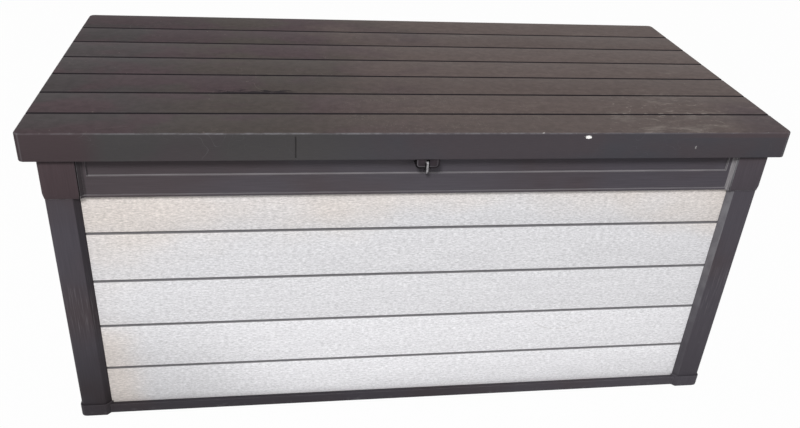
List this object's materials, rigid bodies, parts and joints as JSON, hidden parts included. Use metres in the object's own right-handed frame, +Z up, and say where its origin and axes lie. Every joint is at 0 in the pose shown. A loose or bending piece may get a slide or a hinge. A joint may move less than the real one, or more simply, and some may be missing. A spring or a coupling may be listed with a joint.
{
  "type": "deck storage box",
  "caption": "Outdoor resin storage box with plank-look walls between corner posts and a lift-up planked lid on gas struts.",
  "frame": {"origin": "centre of the lid's outline, on the ground", "axes": "+X along the box's length to the right, -Y out of the front wall, +Z up"},
  "size_m": [1.46, 0.7, 0.672],
  "materials": {
    "lid_resin": "weathered brushed grain",
    "dark_resin": "fine moulded grain",
    "foot_resin": "fine moulded grain",
    "plank_resin": "moulded wood grain",
    "zinc_steel": "zinc plated",
    "bright_steel": "bright zinc plated",
    "strut_paint": "satin black",
    "strut_chrome": "polished"
  },
  "bodies": {
    "box": {"base_tray": "dark_resin", "collar_front_left": "dark_resin", "collar_front_right": "dark_resin", "collar_rear_left": "dark_resin", "collar_rear_right": "dark_resin", "foot_front_left": "foot_resin", "foot_front_right": "foot_resin", "foot_rear_left": "foot_resin", "foot_rear_right": "foot_resin", "front_panel": "plank_resin", "front_rail": "dark_resin", "hinge_body_leaf_1": "zinc_steel", "hinge_body_leaf_2": "zinc_steel", "hinge_body_leaf_3": "zinc_steel", "hinge_pin_1": "zinc_steel", "hinge_pin_2": "zinc_steel", "hinge_pin_3": "zinc_steel", "left_panel": "plank_resin", "left_rail": "dark_resin", "left_strut_body_bracket": "zinc_steel", "lock_eye": "bright_steel", "post_front_left": "dark_resin", "post_front_right": "dark_resin", "post_rear_left": "dark_resin", "post_rear_right": "dark_resin", "rear_panel": "plank_resin", "rear_rail": "dark_resin", "right_panel": "plank_resin", "right_rail": "dark_resin", "right_strut_body_bracket": "zinc_steel"},
    "lid": {"hinge_lid_leaf_1": "zinc_steel", "hinge_lid_leaf_2": "zinc_steel", "hinge_lid_leaf_3": "zinc_steel", "left_strut_lid_bracket": "zinc_steel", "lid_liner": "dark_resin", "lid_shell": "lid_resin", "lock_clevis": "dark_resin", "right_strut_lid_bracket": "zinc_steel"},
    "left_cylinder": {"left_strut_cylinder": "strut_paint"},
    "left_rod": {"left_strut_rod": "strut_chrome"},
    "right_cylinder": {"right_strut_cylinder": "strut_paint"},
    "right_rod": {"right_strut_rod": "strut_chrome"}
  },
  "joints": [
    {"name": "lid_hinge", "type": "hinge", "parent": "box", "child": "lid", "pos_m": [0, 0.3405, 0.607], "axis": [-1, 0, 0], "range_deg": [0, 75]},
    {"name": "left_strut_pivot", "type": "hinge", "parent": "box", "child": "left_cylinder", "pos_m": [-0.6255, 0.28705, 0.41427], "axis": [-1, 0, 0], "range_deg": [-1, 38.5]},
    {"name": "left_rod_slide", "type": "slide", "parent": "left_cylinder", "child": "left_rod", "axis": [0, -0.6327, 0.7744], "range_m": [-0.001, 0.15215]},
    {"name": "right_strut_pivot", "type": "hinge", "parent": "box", "child": "right_cylinder", "pos_m": [0.6255, 0.28705, 0.41427], "axis": [-1, 0, 0], "range_deg": [-1, 38.5]},
    {"name": "right_rod_slide", "type": "slide", "parent": "right_cylinder", "child": "right_rod", "axis": [0, -0.6327, 0.7744], "range_m": [-0.001, 0.15215]}
  ],
  "couplings": [
    {"joint": "left_strut_pivot", "follows": "lid_hinge", "ratio": 0.5},
    {"joint": "left_rod_slide", "follows": "lid_hinge", "m_per_rad": 0.11547},
    {"joint": "right_strut_pivot", "follows": "lid_hinge", "ratio": 0.5},
    {"joint": "right_rod_slide", "follows": "lid_hinge", "m_per_rad": 0.11547}
  ]
}
